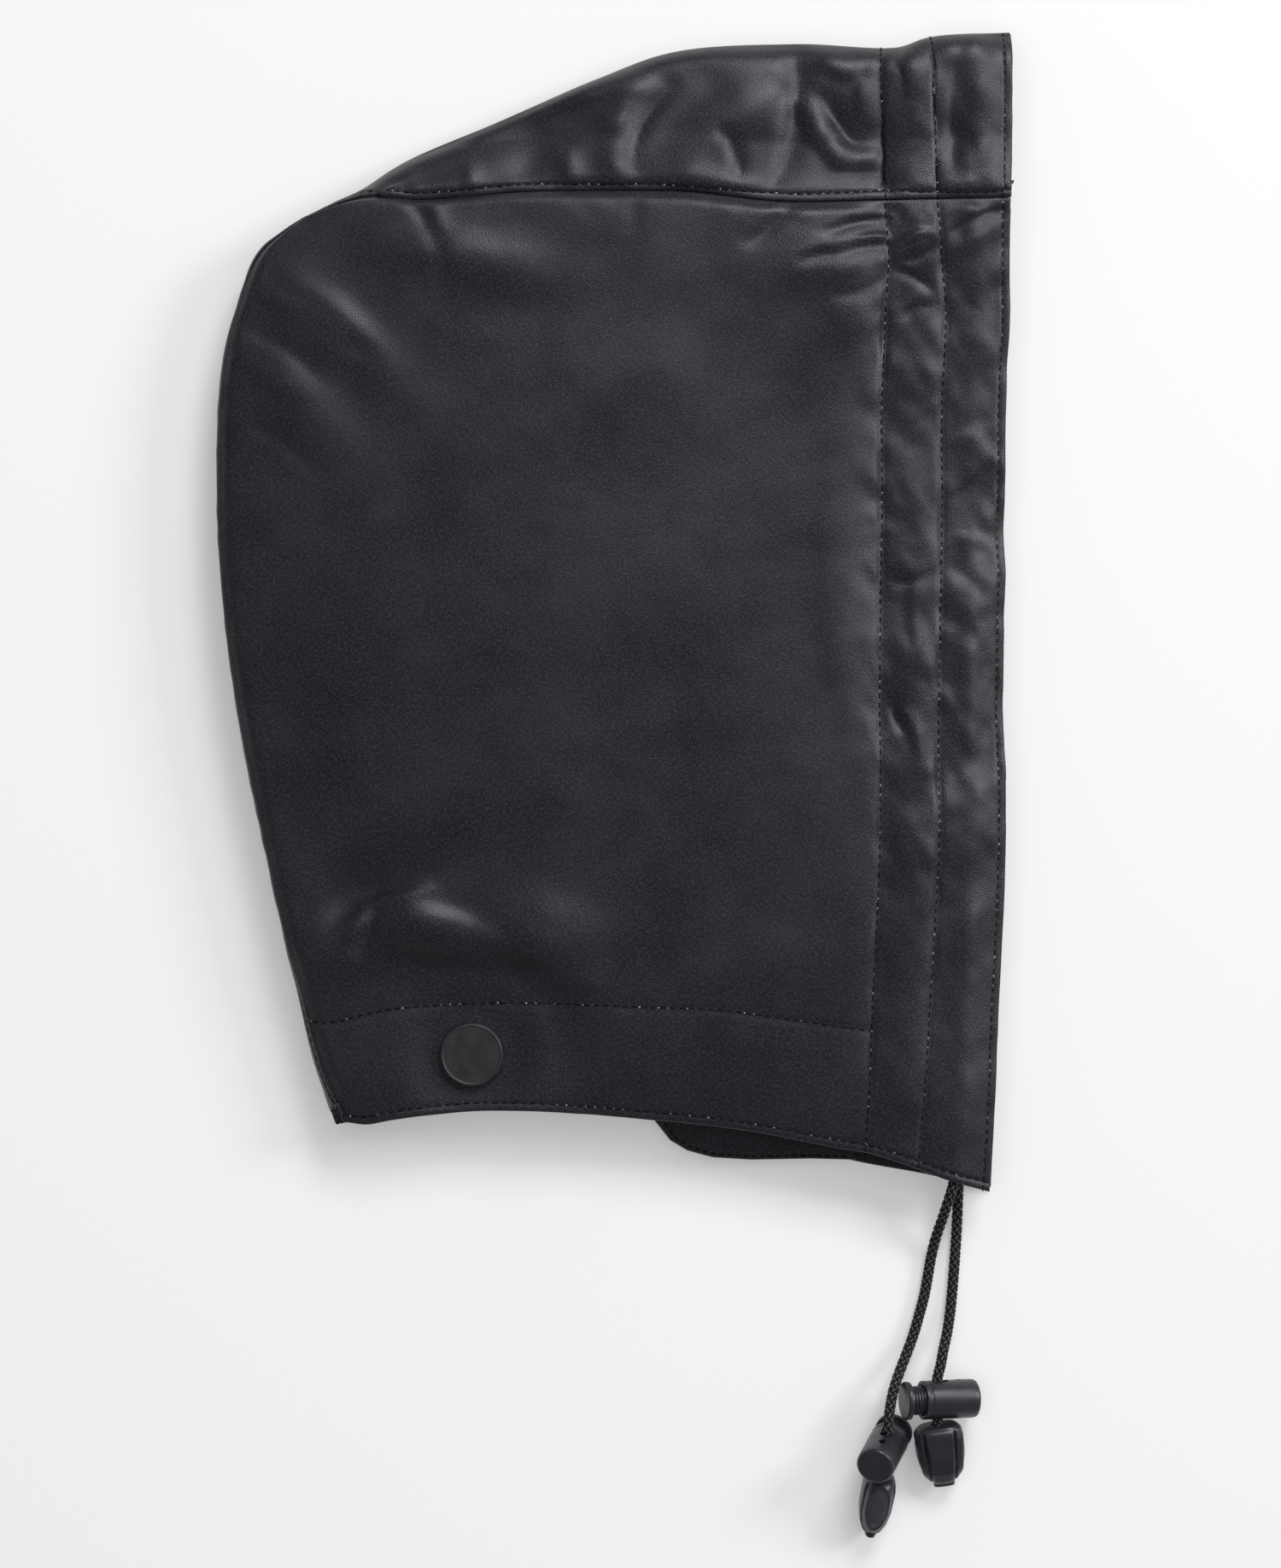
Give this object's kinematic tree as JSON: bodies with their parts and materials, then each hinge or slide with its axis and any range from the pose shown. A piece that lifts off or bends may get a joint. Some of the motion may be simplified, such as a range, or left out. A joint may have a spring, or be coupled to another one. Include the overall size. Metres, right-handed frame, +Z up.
{
  "type": "detachable hood",
  "caption": "Detachable hood of dark waxed cotton with drawcord, cord locks and press studs, laid flat on its side.",
  "frame": {"origin": "bottom centre of the hood's own box as it lies, the free cord ends left out", "axes": "+X from the back of the head to the face opening, +Y from the neck to the crown, +Z up from the table through the upper side"},
  "size_m": [0.246, 0.4668, 0.0279],
  "materials": {
    "waxed_cotton": "satin",
    "facing_cotton": "matte",
    "drawcord": "matte",
    "stud_black": "matte",
    "stud_metal": "satin",
    "lock_plastic": "satin",
    "end_plastic": "satin"
  },
  "bodies": {
    "hood": {"side_panel_right": "waxed_cotton", "side_panel_left": "waxed_cotton", "centre_panel": "waxed_cotton", "chin_flap": "waxed_cotton", "face_facing_right": "facing_cotton", "face_facing_left": "facing_cotton", "face_facing_crown": "facing_cotton", "neck_facing_right": "facing_cotton", "neck_facing_left": "facing_cotton", "neck_facing_back": "facing_cotton", "stud_cap_right": "stud_black", "stud_cap_left": "stud_black", "stud_cap_back": "stud_black", "stud_socket_right": "stud_metal", "stud_socket_left": "stud_metal", "stud_socket_back": "stud_metal", "drawcord_run": "drawcord", "cord_a": "drawcord", "cord_b": "drawcord", "lock_barrel_a": "lock_plastic", "lock_barrel_b": "lock_plastic", "cord_end_a": "end_plastic", "cord_end_b": "end_plastic"},
    "plunger_a": {"lock_plunger_a": "lock_plastic"},
    "plunger_b": {"lock_plunger_b": "lock_plastic"}
  },
  "joints": [
    {"name": "lock_a_press", "type": "slide", "parent": "hood", "child": "plunger_a", "axis": [-0.3121, -0.3551, 0.8812], "range_m": [0, 0.003], "stiffness_N_per_m": 800},
    {"name": "lock_b_press", "type": "slide", "parent": "hood", "child": "plunger_b", "axis": [0.9612, 0, -0.276], "range_m": [0, 0.003], "stiffness_N_per_m": 800}
  ]
}
